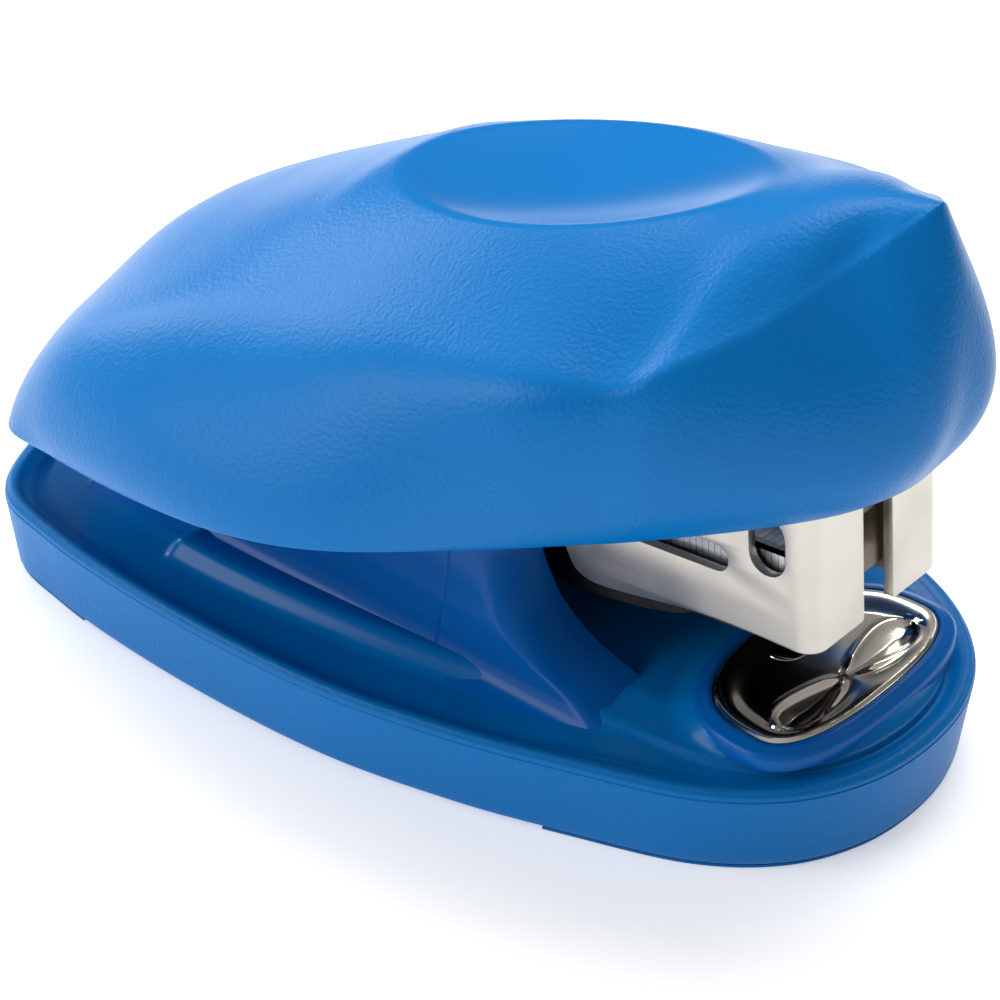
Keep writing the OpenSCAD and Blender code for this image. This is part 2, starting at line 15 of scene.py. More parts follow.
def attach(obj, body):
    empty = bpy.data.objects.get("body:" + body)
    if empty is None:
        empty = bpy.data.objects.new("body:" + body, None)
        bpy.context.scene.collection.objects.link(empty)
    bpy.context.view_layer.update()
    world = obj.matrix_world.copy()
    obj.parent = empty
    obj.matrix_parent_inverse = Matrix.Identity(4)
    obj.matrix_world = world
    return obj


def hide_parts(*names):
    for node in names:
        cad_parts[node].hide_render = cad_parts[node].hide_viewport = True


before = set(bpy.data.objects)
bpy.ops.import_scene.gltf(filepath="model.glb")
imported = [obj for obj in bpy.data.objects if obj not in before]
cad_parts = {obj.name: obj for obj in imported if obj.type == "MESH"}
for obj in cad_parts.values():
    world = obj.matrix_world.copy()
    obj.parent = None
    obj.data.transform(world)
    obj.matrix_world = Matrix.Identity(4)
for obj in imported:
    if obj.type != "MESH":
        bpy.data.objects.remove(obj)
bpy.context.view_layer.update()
MM = 0.001

# %% [markdown]
# The camera stands to the front right of the stapler and looks down at about 34 degrees with a
# long lens, so the nose looks hardly larger than the tail. Its three axes are worked out from the
# two angles and a very small roll.

# %% Camera
AZIMUTH, ELEVATION, ROLL = (math.radians(a) for a in (40.71, 34.24, 0.28))
CAMERA_PLACE = (118.43, -138.15, 133.19)

right = Vector((math.cos(AZIMUTH), math.sin(AZIMUTH), 0))
back = Vector((math.sin(AZIMUTH) * math.cos(ELEVATION), -math.cos(AZIMUTH) * math.cos(ELEVATION),
               math.sin(ELEVATION)))
up = back.cross(right)
rolled_right = right * math.cos(ROLL) + up * math.sin(ROLL)
rolled_up = up * math.cos(ROLL) - right * math.sin(ROLL)

lens = bpy.data.cameras.new("studio_camera")
lens.sensor_width = 36
lens.lens = 108
lens.clip_start = 0.01
lens.clip_end = 10
camera = bpy.data.objects.new("studio_camera", lens)
bpy.context.scene.collection.objects.link(camera)
turn = Matrix((rolled_right, rolled_up, back)).transposed().to_4x4()
camera.matrix_world = Matrix.Translation(Vector(CAMERA_PLACE) * MM) @ turn
bpy.context.scene.camera = camera
print("camera looks down at", round(math.degrees(ELEVATION), 1), "degrees")

# %% [markdown]
# Materials are built from nodes. Two helpers keep that short: one turns a colour as it is seen on a
# screen into the linear numbers that the shader wants, and one adds a node, sets it and links it.


# %% Material helpers
def linear(code):
    """Linear colour of an sRGB hex code."""
    parts = [int(code[i:i + 2], 16) / 255 for i in (1, 3, 5)]
    return [*((c / 12.92 if c <= 0.04045 else ((c + 0.055) / 1.055) ** 2.4) for c in parts), 1.0]


def add(tree, kind, inputs=None, **settings):
    """Adds a node to a tree, with its settings, its socket values and its links."""
    made = tree.nodes.new(kind)
    for name, value in settings.items():
        setattr(made, name, value)
    for key, value in (inputs or {}).items():
        if isinstance(value, bpy.types.NodeSocket):
            tree.links.new(value, made.inputs[key])
        else:
            made.inputs[key].default_value = value
    return made


def new_material(name):
    """An empty material with its output, its shader and the object's coordinates."""
    material = bpy.data.materials.new(name)
    material.use_nodes = True
    tree = material.node_tree
    tree.nodes.clear()
    shader = add(tree, "ShaderNodeBsdfPrincipled")
    add(tree, "ShaderNodeOutputMaterial", {"Surface": shader.outputs["BSDF"]})
    where = add(tree, "ShaderNodeTexCoord").outputs["Object"]
    return material, tree, shader, where


def per_metre(size_mm):
    """Texture scale whose features are about this size."""
    return 1 / (size_mm * MM)


def toned(tree, colour, noise, spread=0.06):
    """The colour, a little lighter and darker where the noise is high and low."""
    base = linear(colour)
    dark = [c * (1 - spread) for c in base[:3]] + [1]
    light = [min(1, c * (1 + spread)) for c in base[:3]] + [1]
    return add(tree, "ShaderNodeMix", {"Factor": noise, 6: dark, 7: light}, data_type="RGBA").outputs[2]


# %% [markdown]
# The floor is a plain pale sweep of paper that glows a little, as if lit from below. The world is
# a white tent, brighter overhead than near the ground. One large soft box above and behind makes the
# highlight on the cap's shoulder, one behind to the left lights the tail, and one fills the near side.

# %% Floor and light
FLOOR_GLOW, TENT_LOW, TENT_HIGH = 0.4, 0.06, 0.5
FLOOR_REACH = 6
paper, tree, shader, where = new_material("white_studio_paper")
fibre = add(tree, "ShaderNodeTexNoise", {"Vector": where, "Scale": per_metre(1.5), "Detail": 3.0})
shader.inputs["Emission Color"].default_value = linear("#ffffff")
shader.inputs["Emission Strength"].default_value = FLOOR_GLOW
tree.links.new(toned(tree, "#f6f6f6", fibre.outputs["Fac"], 0.01), shader.inputs["Base Color"])
shader.inputs["Roughness"].default_value = 0.9
floor_mesh = bpy.data.meshes.new("studio_floor")
floor_corners = [(x * FLOOR_REACH, y * FLOOR_REACH, 0) for x, y in ((-1, -1), (1, -1), (1, 1), (-1, 1))]
floor_mesh.from_pydata(floor_corners, [], [(0, 1, 2, 3)])
floor_mesh.materials.append(paper)
studio_floor = bpy.data.objects.new("studio_floor", floor_mesh)
bpy.context.scene.collection.objects.link(studio_floor)

world = bpy.data.worlds.new("white_tent")
world.use_nodes = True
backdrop = world.node_tree.nodes["Background"]
backdrop.inputs["Color"].default_value = linear("#ffffff")
skyward = add(world.node_tree, "ShaderNodeSeparateXYZ", {"Vector": add(
    world.node_tree, "ShaderNodeTexCoord").outputs["Generated"]}).outputs["Z"]
world.node_tree.links.new(add(world.node_tree, "ShaderNodeMapRange", {
    "Value": skyward, "To Min": TENT_LOW, "To Max": TENT_HIGH}).outputs[0], backdrop.inputs["Strength"])
bpy.context.scene.world = world
bpy.context.scene.view_settings.view_transform = "Standard"


def soft_box(name, place, aim, size, power):
    """A square area light that points at a place, in metres."""
    data = bpy.data.lights.new(name, "AREA")
    data.shape = "RECTANGLE"
    data.size, data.size_y = size
    data.energy = power
    box = bpy.data.objects.new(name, data)
    bpy.context.scene.collection.objects.link(box)
    box.location = place
    box.rotation_euler = (Vector(aim) - Vector(place)).to_track_quat("-Z", "Y").to_euler()
    return box


soft_box("top_box", (-0.15, 0.25, 0.55), (0, 0, 0.02), (0.5, 0.4), 3.4)
soft_box("left_box", (-0.65, 0.05, 0.28), (0, 0, 0.02), (0.3, 0.4), 1.7)
soft_box("fill_box", (-0.45, -0.65, 0.35), (0, 0, 0.02), (0.5, 0.4), 3.2)

# %% [markdown]
# ## Finishes
# The mouldings are ABS, a tough glossy plastic. Its colour goes right through. Most of the outside
# was moulded against an etched tool, which leaves a fine pebble grain of about a third of a
# millimetre and a satin sheen. The thumb dish and the deck came from polished steel and stay glossy.


# %% Grained and polished plastic
def moulded_plastic(name, colour, grain, roughness, polish=None, pebble=0.3):
    """ABS with an etched pebble grain; polish names an attribute that smooths it away."""
    material, tree, shader, where = new_material(name)
    cloud = add(tree, "ShaderNodeTexNoise", {"Vector": where, "Scale": per_metre(14), "Detail": 2.0})
    tree.links.new(toned(tree, colour, cloud.outputs["Fac"], 0.05), shader.inputs["Base Color"])
    pebbles = add(tree, "ShaderNodeTexNoise", {"Vector": where, "Scale": per_metre(pebble),
                                               "Detail": 1.5, "Roughness": 0.45})
    height = pebbles.outputs["Fac"]
    rough = add(tree, "ShaderNodeMapRange", {"Value": cloud.outputs["Fac"], "To Min": roughness - 0.03,
                                             "To Max": roughness + 0.03}).outputs[0]
    strength = grain
    if polish:
        smooth = add(tree, "ShaderNodeAttribute", attribute_name=polish).outputs["Fac"]
        strength = add(tree, "ShaderNodeMapRange", {
            "Value": smooth, "To Min": grain, "To Max": 0.02}).outputs[0]
        rough = add(tree, "ShaderNodeMapRange", {
            "Value": smooth, "To Min": rough, "To Max": 0.22}).outputs[0]
    bump = add(tree, "ShaderNodeBump", {"Height": height, "Strength": strength, "Distance": 0.12 * MM})
    tree.links.new(bump.outputs["Normal"], shader.inputs["Normal"])
    tree.links.new(rough, shader.inputs["Roughness"])
    shader.inputs["IOR"].default_value = 1.5
    shader.inputs["Specular IOR Level"].default_value = 0.15
    return material


BLUE = "#0070b9"
cap_plastic = moulded_plastic("pebble_grained_blue_abs", BLUE, 0.42, 0.33, polish="polish")
base_plastic = moulded_plastic("blue_abs_of_the_base", "#006eb6", 0.45, 0.4, polish="polish")
# The polished blue is a darker copy of the blue. The darker tone is painted shade for the hollow under the
# cap, where the cheeks and the anvil ring stand.
shaded_gloss_plastic = moulded_plastic("polished_blue_abs_painted_shade", "#0060b2", 0.03, 0.24)
foot_plastic = moulded_plastic("soft_blue_foot_rubber", "#0064a8", 0.35, 0.55, pebble=0.6)
print("plastics:", cap_plastic.name, base_plastic.name, shaded_gloss_plastic.name, foot_plastic.name)

# %% [markdown]
# The metals are four. The magazine is cold-rolled sheet with a satin nickel plate, so it shows the
# faint lines of the rolling. The anvil is stamped and bright chromed. The rail, the blade and the
# pusher take a dark brown steel whose colour is painted shade, for the shadow inside the magazine
# and under the cap. Pins, screws and springs are plain bright steel, and the staples are galvanised wire.


# %% Metals
def metal(name, colour, roughness, lines=None, turned=0.0):
    """A metal; lines is the pitch of its rolling marks, which run along X before it is turned."""
    material, tree, shader, where = new_material(name)
    shader.inputs["Metallic"].default_value = 1.0
    cloud = add(tree, "ShaderNodeTexNoise", {"Vector": where, "Scale": per_metre(5), "Detail": 4.0})
    tree.links.new(toned(tree, colour, cloud.outputs["Fac"], 0.06), shader.inputs["Base Color"])
    rough = add(tree, "ShaderNodeMapRange", {
        "Value": cloud.outputs["Fac"], "From Min": 0.3, "From Max": 0.7,
        "To Min": roughness * 0.8, "To Max": roughness * 1.2}).outputs[0]
    tree.links.new(rough, shader.inputs["Roughness"])
    scale = (0.03, 1, 1) if lines else (1, 1, 1)
    placed = add(tree, "ShaderNodeMapping", {"Vector": where, "Rotation": (0, turned, 0), "Scale": scale})
    marks = add(tree, "ShaderNodeTexNoise", {"Vector": placed.outputs[0], "Scale": per_metre(lines or 0.3),
                                             "Detail": 2.0})
    bump = add(tree, "ShaderNodeBump", {"Height": marks.outputs["Fac"], "Strength": 0.1,
                                        "Distance": 0.01 * MM})
    tree.links.new(bump.outputs["Normal"], shader.inputs["Normal"])
    return material


PITCH = math.radians(5.6)
nickel = metal("satin_nickel_plate", "#d2cdc4", 0.46, lines=0.12, turned=PITCH)
chrome = metal("bright_chrome_plate", "#e0d9cd", 0.14)
# The dark brown of this steel is painted shade for the shadow inside the magazine and under the cap.
shaded_dark_steel = metal("dark_steel_painted_shade", "#6a5f57", 0.34, lines=0.2, turned=PITCH)
bright_steel = metal("bright_drawn_steel", "#c9c8c6", 0.22, lines=0.15)
staple_wire = metal("galvanised_staple_wire", "#c3c7cc", 0.26, lines=0.15)
print("metals:", [m.name for m in (nickel, chrome, shaded_dark_steel, bright_steel, staple_wire)])

# %% [markdown]
# ## Shape helpers
# A smooth line through a few points, a skin of quads over rows of points, and a piece that rides
# on its body. A piece drawn in the magazine's own frame, where the magazine is level and the hinge
# is the origin, is turned to its resting pitch at the end.


# %% Lines, skins and pieces
HINGE = (-25, 0, 14.5)


def smooth_line(points, steps, mirrored=True):
    """Catmull-Rom line through the points. Mirrored, it meets the middle plane squarely."""
    p = np.array(points, float)
    first, last = p[1].copy(), p[-2].copy()
    if mirrored:
        first[1] *= -1
        last[1] *= -1
    else:
        first, last = 2 * p[0] - p[1], 2 * p[-1] - p[-2]
    p = np.vstack([first, p, last])
    t = np.linspace(0, 1, steps, endpoint=False)[:, None]
    parts = [0.5 * (2 * b + (c - a) * t + (2 * a - 5 * b + 4 * c - d) * t ** 2
                    + (3 * b - a - 3 * c + d) * t ** 3) for a, b, c, d in zip(p, p[1:], p[2:], p[3:])]
    return np.vstack(parts + [p[-2:-1]])


def smooth_step(low, high, value):
    """0 below low, 1 above high and a smooth climb between them."""
    t = np.clip((value - low) / (high - low), 0, 1)
    return t * t * (3 - 2 * t)


def sheet_faces(rows, columns, offset=0, wrap=False):
    """Quads over a grid of points stored row by row; wrap joins the last column to the first."""
    faces = []
    for r in range(rows - 1):
        for c in range(columns if wrap else columns - 1):
            a, b = offset + r * columns + c, offset + r * columns + (c + 1) % columns
            faces.append((a, b, b + columns, a + columns))
    return faces


def capped_stack(loops):
    """Faces of a stack of closed loops, with the first and the last loop filled."""
    rows, size = loops.shape[:2]
    lid = tuple(range((rows - 1) * size, rows * size))
    return sheet_faces(rows, size, wrap=True) + [tuple(range(size))[::-1], lid]


def in_magazine(points, pitch=PITCH):
    """Places of points that are drawn in the magazine's or the cap's own frame."""
    p = np.asarray(points, float)
    c, s = math.cos(pitch), math.sin(pitch)
    x, z = p[:, 0] * c - p[:, 2] * s, p[:, 0] * s + p[:, 2] * c
    return np.stack([HINGE[0] + x, p[:, 1], HINGE[2] + z], 1)


def make_piece(name, points, faces, material, body, replaces=(), sharp=40, merge=0.005):
    """A mesh object from points in mm, cleaned, with outward faces, riding on its body."""
    mesh = bpy.data.meshes.new(name)
    bm = bmesh.new()
    verts = [bm.verts.new(Vector(p) * MM) for p in points]
    for face in faces:
        try:
            bm.faces.new([verts[i] for i in dict.fromkeys(face)])
        except ValueError:
            pass
    bmesh.ops.remove_doubles(bm, verts=bm.verts, dist=merge * MM)
    bmesh.ops.dissolve_degenerate(bm, edges=bm.edges, dist=merge * MM * 0.2)
    bmesh.ops.delete(bm, geom=[v for v in bm.verts if not v.link_faces], context="VERTS")
    bmesh.ops.recalc_face_normals(bm, faces=bm.faces)
    bm.to_mesh(mesh)
    bm.free()
    return finish_piece(name, mesh, material, body, replaces, sharp)


def finish_piece(name, mesh, material, body, replaces=(), sharp=40):
    """Gives a mesh its finish and smooth shading, and makes it a piece that rides on a body."""
    mesh.materials.clear()
    mesh.materials.append(material)
    mesh.shade_smooth()
    mesh.set_sharp_from_angle(angle=math.radians(sharp))
    piece = bpy.data.objects.new(name, mesh)
    bpy.context.scene.collection.objects.link(piece)
    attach(piece, body)
    for node in replaces:
        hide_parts(node)
    open_edges = sum(1 for e in edge_uses(mesh) if e != 2)
    print(f"{name}: {len(mesh.vertices)} points, {len(mesh.polygons)} faces, {open_edges} open edges")
    return piece


def mark_polish(piece, share):
    """Stores how polished each point is, from 0 to 1, for the plastic to read."""
    marks = piece.data.attributes.new("polish", "FLOAT", "POINT")
    marks.data.foreach_set("value", share.astype(np.float32))
    print(f"{piece.name}: {int((share > 0.5).sum())} polished points")


def edge_uses(mesh):
    """How many faces use each edge."""
    uses = np.zeros(len(mesh.edges), int)
    index = np.zeros(len(mesh.loops), int)
    mesh.loops.foreach_get("edge_index", index)
    np.add.at(uses, index, 1)
    return uses


# %% [markdown]
# ## Press cap
# The cap is one skin between three lines: its lower edge, the shoulder over each point of the edge,
# and the ridge along the middle. A round-bottomed thumb dish is pressed into the top. The surface
# is laid out by stations from the nose to the tail, each with points from the edge over the
# shoulder to the ridge. Near the nose the shoulder stays a crisp crease, and farther back it melts
# into a soft curve, so the rows are blurred along their own length by an amount that grows
# towards the tail.

# %% Cap lines
CAP_EDGE = [(34.8, 0), (34.2, 3), (32.4, 6.4), (28.6, 10.3), (23.6, 14.3), (20.2, 16.6), (14.4, 20.2),
            (5.6, 24.7), (-2.6, 26.1), (-12.6, 25.3), (-23.2, 23.2), (-30.4, 20.8), (-34.2, 12.5),
            (-34.9, 0)]
CAP_SHOULDER = [(34.5, 0, 46.4), (33.1, 2.8, 44.6), (31, 5.3, 42.4), (28.7, 10.2, 39.9), (25.4, 14.8, 37.7),
                (22.4, 16.9, 35.9), (16, 19.2, 35.2), (4.2, 19.6, 33.1), (-6.2, 18.9, 30.6),
                (-15.9, 18.9, 27.7), (-23.7, 19.1, 23.7), (-29.1, 15.4, 20.5),
                (-31.6, 8.5, 19.8), (-31.8, 0, 22.1)]
CAP_BULGE = [3, 3.9, 3.9, 3, 2.3, 1.7, 1.4, 1.4, 1.9, 2.4, 1.9, 0.9, 0.7, 0.6]
CAP_RIDGE = [(-31.8, 22.1), (-28, 25.1), (-24.4, 27.1), (-19.4, 29.6), (-11.4, 33.9), (-7.6, 36),
             (6.4, 40.8), (20.4, 42.9), (28, 45.3), (34.5, 46.4)]
CAP_STEPS, SIDE_ROWS, TOP_ROWS, CAP_ROWS = 17, 40, 90, 112


def ridge_height(x):
    """Height of the ridge at x: a Hermite curve whose slopes are taken from the neighbours."""
    table = np.array(CAP_RIDGE, float)
    wide = np.vstack([table[:1], table, table[-1:]])
    slopes = (wide[2:, 1] - wide[:-2, 1]) / (wide[2:, 0] - wide[:-2, 0])
    i = np.clip(np.searchsorted(table[:, 0], x, side="right") - 1, 0, len(table) - 2)
    w = table[i + 1, 0] - table[i, 0]
    t = (x - table[i, 0]) / w
    a, b, sa, sb = table[i, 1], table[i + 1, 1], slopes[i] * w, slopes[i + 1] * w
    return a + t * sa + t ** 2 * (3 * (b - a) - 2 * sa - sb) + t ** 3 * (2 * (a - b) + sa + sb)


def cap_edge_height(x):
    """Height of the cap's lower edge at x."""
    return 26.2 + 0.2 * (x - 34.6)


def dish_height(x, y):
    """The thumb dish: a bowl that leans back with the cap."""
    run = x - 6.4
    return 37.6 + run * math.tan(math.radians(13)) + (0.8 * run ** 2 + 1.3 * y ** 2) / 92


# %% Cap stations
edge = smooth_line(CAP_EDGE, CAP_STEPS)
edge = np.column_stack([edge, cap_edge_height(edge[:, 0])])
shoulder = smooth_line(CAP_SHOULDER, CAP_STEPS)
bulge = smooth_line([(b, 0) for b in CAP_BULGE], CAP_STEPS)[:, 0]
outward = shoulder + edge + (12, 0, 0)
outward = outward[:, :2] / np.maximum(np.linalg.norm(outward[:, :2], axis=1), 0.01)[:, None]
control = (edge + shoulder) / 2
control[:, :2] += 2 * bulge[:, None] * outward
control[:, 2] = 0.6 * edge[:, 2] + 0.4 * shoulder[:, 2]

v = np.linspace(0, 1, SIDE_ROWS, endpoint=False)[None, :, None]
side = edge[:, None] * (1 - v) ** 2 + control[:, None] * 2 * v * (1 - v) + shoulder[:, None] * v ** 2
t = np.linspace(1, 0, TOP_ROWS)[None, :]
crest, foot = ridge_height(shoulder[:, 0])[:, None], shoulder[:, 2:3]
top_y = shoulder[:, 1:2] * (1.35 * t * (1 - t) ** 2 + 1.89 * t ** 2 * (1 - t) + t ** 3)
top_z = (crest * ((1 - t) ** 3 + 3 * t * (1 - t) ** 2)
         + (foot + 0.38 * (crest - foot)) * 3 * t ** 2 * (1 - t) + foot * t ** 3)
top = np.stack([np.broadcast_to(shoulder[:, :1], top_y.shape), top_y, top_z], 2)
profile = np.concatenate([side, top], 1)
print("cap stations and rows:", profile.shape[:2])


# %% Even rows, soft shoulder and dish
def even_rows(line, count):
    """The same line with evenly spaced points, and the share of its length at each old point."""
    lengths = np.concatenate([[0], np.cumsum(np.linalg.norm(np.diff(line, axis=0), axis=1))])
    share = lengths / max(lengths[-1], 1e-6)
    even = np.linspace(0, 1, count)
    return np.stack([np.interp(even, share, line[:, k]) for k in range(3)], 1), share, lengths[-1]


def soften(line, at, width, sigma):
    """Blurs a line of even points near the share of its length given by at."""
    count, step = len(line), width / (len(line) - 1)
    reach = int(min(count - 1, max(1, 3 * sigma / step)))
    kernel = np.exp(-0.5 * (np.arange(-reach, reach + 1) * step / sigma) ** 2)
    kernel /= kernel.sum()
    mirrored = line[-2:-reach - 2:-1] * (1, -1, 1)
    start = 2 * line[0] - line[reach:0:-1]
    padded = np.vstack([start, line, mirrored])
    blurred = np.stack([np.convolve(padded[:, k], kernel, "valid") for k in range(3)], 1)
    near = np.exp(-0.5 * ((np.linspace(0, 1, count) - at) * width / (2.5 * sigma)) ** 2)[:, None]
    return line + (blurred - line) * near


def lower_of(a, b, blend):
    """The lower of two heights with a small fillet where they cross."""
    h = np.clip(0.5 + 0.5 * (b - a) / blend, 0, 1)
    return b + (a - b) * h - blend * h * (1 - h)


softness = np.interp(shoulder[:, 0], [-30, -10, 8, 16, 22, 29, 34.5], [1.6, 2.2, 2.4, 1.5, 0.7, 0.3, 0.2])
outer = []
for line, sigma in zip(profile, softness):
    even, share, width = even_rows(line, CAP_ROWS)
    outer.append(soften(even, share[SIDE_ROWS], max(width, 1), sigma) if width > 4 else even)
outer = np.array(outer)
outer[:, :, 2] = lower_of(outer[:, :, 2], dish_height(outer[:, :, 0], outer[:, :, 1]), 0.35)
outer[:, -1, 1] = 0
print("dish depth in mm:", round(float(ridge_height(np.array([6.4]))[0] - 37.6), 2))

# %% Cap wall and lip
WALL, LIP = 1.7, 0.6
inner = outer[:, list(range(0, CAP_ROWS - 1, 4)) + [CAP_ROWS - 1]].copy()
above = inner[:, :, 2] - cap_edge_height(inner[:, :, 0])
wall = np.minimum(WALL, LIP + (WALL - LIP) * above / 3)
lowest = cap_edge_height(inner[:, :, 0])
inner[:, :, 0] = 2 + (inner[:, :, 0] - 2) * (1 - wall / 34)
inner[:, :, 1] *= 1 - wall / 25
inner[:, :, 2] = lowest + above * (1 - wall / 17)
outer[:, 0, 2] += 0.18
inner[:, 0, 2] += 0.18
middle, half = (outer[:, 0] + inner[:, 0]) / 2, (outer[:, 0] - inner[:, 0]) / 2
lip = np.stack([middle - half * math.cos(a) - (0, 0, 0.2 * math.sin(a))
                for a in np.radians([25, 50, 75, 105, 130, 155])], 1)
half_cap = np.concatenate([inner[:, ::-1], lip, outer], 1)
stations, rows = half_cap.shape[:2]
faces = sheet_faces(stations, rows) + sheet_faces(stations, rows, stations * rows)
points = np.vstack([half_cap.reshape(-1, 3), half_cap.reshape(-1, 3) * (1, -1, 1)])
cap_skin = make_piece("press_cap", points, faces, cap_plastic, "cap", ["cap_shell"],
                      sharp=50)

# %% Where the cap is polished
at = np.array([v.co[:] for v in cap_skin.data.vertices]) / MM
drop = dish_height(at[:, 0], at[:, 1]) - at[:, 2]
polish = (1 - smooth_step(0.12, 0.4, drop)) * (at[:, 2] > 33)
mark_polish(cap_skin, polish)

# %% [markdown]
# ## Base
# The base is a shallow tray. Rings follow its outline: up the drafted skirt, over the rounded rim
# with its fine parting line, and down into a valley. A second outline, the edge of the raised
# middle, carries a small bead that catches the light. Inside it the floor is a height map that
# climbs to the ring round the anvil.

# %% Base outlines
BASE_EDGE = [(37.8, 0), (37, 5.6), (34.2, 10.8), (29, 15), (20.6, 18.3), (12.6, 20.9), (2, 23.1),
             (-12, 23.7), (-25, 22.7), (-32.6, 20), (-37, 10), (-37.8, 0)]
BEAD_EDGE = [(35.9, 0), (35.0, 5.2), (32.2, 9.3), (26.8, 11.6), (19, 12.2), (11, 12.9), (0.5, 14.8),
             (-12, 16.2), (-22, 16.0), (-30, 14.4), (-34.6, 8.4), (-35.6, 0)]
BASE_STEPS = 24
outline = smooth_line(BASE_EDGE, BASE_STEPS)
bead = smooth_line(BEAD_EDGE, BASE_STEPS)
bead[:, 1] -= 1.4 * smooth_step(-17.4, -18.5, bead[:, 0]) * smooth_step(-34, -30, bead[:, 0])
along = np.gradient(np.vstack([outline[1] * (1, -1), outline, outline[-2] * (1, -1)]), axis=0)[1:-1]
normal = np.column_stack([-along[:, 1], along[:, 0]])
normal /= np.linalg.norm(normal, axis=1)[:, None]
if normal[0, 0] > 0:
    normal = -normal
print("base outline points:", len(outline))


def ring(inset, z):
    """The base's outline drawn in by inset, at height z."""
    drawn = outline + normal * inset
    drawn[[0, -1], 1] = 0
    return np.column_stack([drawn, np.full(len(drawn), z)])


# %% Skirt and rim rings
under = ring(1.6, 3.6)
under[:, 1] = 0
rings = [under]
rings += [ring(inset, z) for inset, z in [(1.6, 3.6), (1.6, 0.75), (1.45, 0.45), (1.25, 0.4), (0.85, 0.4),
                                          (0.66, 0.48), (0.58, 0.7)]]
rings += [ring(0.58 * (1 - h), 0.7 + 5.5 * h) for h in (0.12, 0.25, 0.4, 0.55, 0.7, 0.85, 1)]
rings += [ring(inset, z) for inset, z in [
    (0.09, 6.26), (0.09, 6.32), (0.02, 6.38), (0.06, 6.6), (0.12, 6.72), (0.22, 6.76), (0.26, 6.84),
    (0.38, 6.95), (0.55, 7), (0.78, 6.99), (1, 6.88), (1.2, 6.66), (1.4, 6.3)]]

# %% Valley and bead
at_nose = smooth_step(12, 25, outline[:, 0])
for line in rings[-4:]:
    line[:, 2] += (6.95 - line[:, 2]) * at_nose * 0.75
rim_foot = rings[-1]
gap = np.linalg.norm(bead - rim_foot[:, :2], axis=1)
rim_level = rim_foot[:, 2]
valley = rim_level - np.minimum(1.1, gap * 0.45) * (1 - 0.85 * at_nose)
rise = 0.2 + 1.1 * smooth_step(-18.4, -17.3, bead[:, 0])
crown = valley + np.minimum(rise + 0.1, 1.4) * (1 - 0.6 * at_nose)
for f in (0.05, 0.1, 0.16, 0.24, 0.34, 0.46, 0.58, 0.7, 0.78, 0.84, 0.89, 0.93, 0.96, 0.985, 1):
    place = rim_foot[:, :2] + (bead - rim_foot[:, :2]) * f
    z = valley + (rim_level - valley) * (1 - smooth_step(0, 0.3, f))
    z += (crown - valley) * smooth_step(0.74, 1.0, f)
    rings.append(np.column_stack([place, z]))


# %% Raised middle
def beyond_anvil(x, y):
    """Distance of a place outside the anvil's outline, negative inside it."""
    dx = x - 30.2
    reach = np.where(dx > 0, 3.6, 6.9)
    share = (np.abs(dx / reach) ** 2.5 + np.abs(y / 9.8) ** 2.5) ** 0.4
    return np.hypot(dx, y) * (1 - 1 / np.maximum(share, 0.05))


def middle_height(x, y, edge_distance, edge_z):
    """Floor between the cheeks, the ramp in front of it and the island round the anvil."""
    g = beyond_anvil(x, y)
    floor = 5.9 + 0.4 * smooth_step(8, 14, x) + 1.5 * smooth_step(16, 21, x)
    island = floor + (8.82 - floor) * smooth_step(3.2, 0.8, g)
    rise = np.maximum(smooth_step(0, 3, edge_distance),
                      smooth_step(0, 1, edge_distance / (edge_distance + np.maximum(g - 0.9, 0) + 0.05)))
    height = edge_z + (island - edge_z) * rise
    return np.where(g < 0.9, height + (8.0 - height) * smooth_step(0.75, 0.25, g), height)


MIDDLE_ROWS = 46
edge_ring = rings[-1]
for v in np.linspace(0, 1, MIDDLE_ROWS)[1:]:
    x, y = edge_ring[:, 0], edge_ring[:, 1] * (1 - v)
    away = np.min(np.hypot(x[:, None] - edge_ring[None, :, 0], y[:, None] - edge_ring[None, :, 1]), axis=1)
    rings.append(np.column_stack([x, y, middle_height(x, y, away, edge_ring[:, 2])]))
grid = np.array(rings)
count = grid.shape[1]
faces = sheet_faces(len(grid), count) + sheet_faces(len(grid), count, len(grid) * count)
points = np.vstack([grid.reshape(-1, 3), grid.reshape(-1, 3) * (1, -1, 1)])
base_tray = make_piece("base_tray", points, faces, base_plastic, "base", ["base_shell"],
                       sharp=60)

# %% Where the base is polished
at = np.array([v.co[:] for v in base_tray.data.vertices]) / MM
loop = np.vstack([outline, outline * (1, -1)])
away = np.array([np.min(np.hypot(*(loop - p[:2]).T)) for p in at])
polish = smooth_step(0.55, 0.75, away) * (at[:, 2] > 4.4)
mark_polish(base_tray, polish)

# %% [markdown]
# ## Cheeks
# Two walls stand up from the base and hold the pin. Seen from the side, each is high over the pin
# and sweeps down in a hollow curve to the deck in front. A cheek is a stack of level loops: along
# the flat inner face, round the front corner and back along the outer face, which leans in and
# flares out at its foot.

# %% Cheek levels
CHEEK_FRONT = [(5.2, 24.6, 15.3), (5.9, 22.6, 14.0), (6.8, 20.8, 13.4), (7.6, 18.6, 13.1),
               (8.3, 16.2, 12.95), (9.3, 14.1, 12.8), (10.8, 12.2, 12.5), (12.6, 11, 12.25),
               (14.4, 10.2, 12), (15.6, 9.8, 11.9)]
levels = smooth_line(CHEEK_FRONT, 7, mirrored=False)
REAR, CORNER = -29.0, 3.0


def cheek_top(x):
    """Height of the cheek's top edge: round over the pin, then falling gently forwards."""
    over_pin = 14.5 + np.sqrt(np.maximum(16 - (x + 25) ** 2, 0))
    return np.where(x < -25, over_pin, np.interp(x, [-25, -12, 0, 10], [18.5, 17.6, 16.6, 15.6]))


